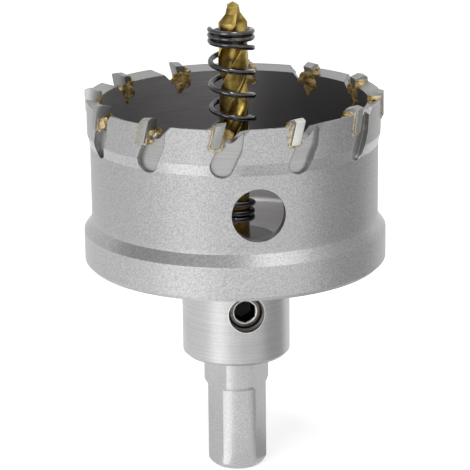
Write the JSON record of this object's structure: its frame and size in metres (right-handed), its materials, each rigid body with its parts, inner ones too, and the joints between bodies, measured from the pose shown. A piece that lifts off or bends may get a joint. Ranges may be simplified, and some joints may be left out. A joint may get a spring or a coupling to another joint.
{
  "type": "carbide-tipped hole saw",
  "caption": "Cup-shaped hole saw with brazed carbide teeth, a flanged depth stop, a coated pilot drill with its ejector spring and a three-flat shank, for boring round holes in sheet metal.",
  "frame": {"origin": "centre of the shank's flat end face, which the tool stands on", "axes": "+Z along the axis of rotation, from the shank to the teeth; -Y towards the side that the picture shows"},
  "size_m": [0.061, 0.061, 0.0973],
  "materials": {
    "cup_steel": "bead-blasted satin steel, darker inside the cup",
    "arbor_steel": "turned satin steel",
    "drill_coating": "gold-coloured hard coating on ground steel",
    "spring_wire": "glossy black spring wire",
    "screw_black": "black oxide",
    "carbide": "ground tungsten carbide",
    "braze": "dull golden-brown brazing filler"
  },
  "bodies": {
    "root": {"cutter_body": "cup_steel", "arbor": "arbor_steel", "pilot_drill": "drill_coating", "ejector_spring": "spring_wire", "set_screw": "screw_black", "carbide_tip_01": "carbide", "carbide_tip_02": "carbide", "carbide_tip_03": "carbide", "carbide_tip_04": "carbide", "carbide_tip_05": "carbide", "carbide_tip_06": "carbide", "carbide_tip_07": "carbide", "carbide_tip_08": "carbide", "carbide_tip_09": "carbide", "carbide_tip_10": "carbide", "carbide_tip_11": "carbide", "carbide_tip_12": "carbide", "braze_01": "braze", "braze_02": "braze", "braze_03": "braze", "braze_04": "braze", "braze_05": "braze", "braze_06": "braze", "braze_07": "braze", "braze_08": "braze", "braze_09": "braze", "braze_10": "braze", "braze_11": "braze", "braze_12": "braze"}
  },
  "joints": []
}
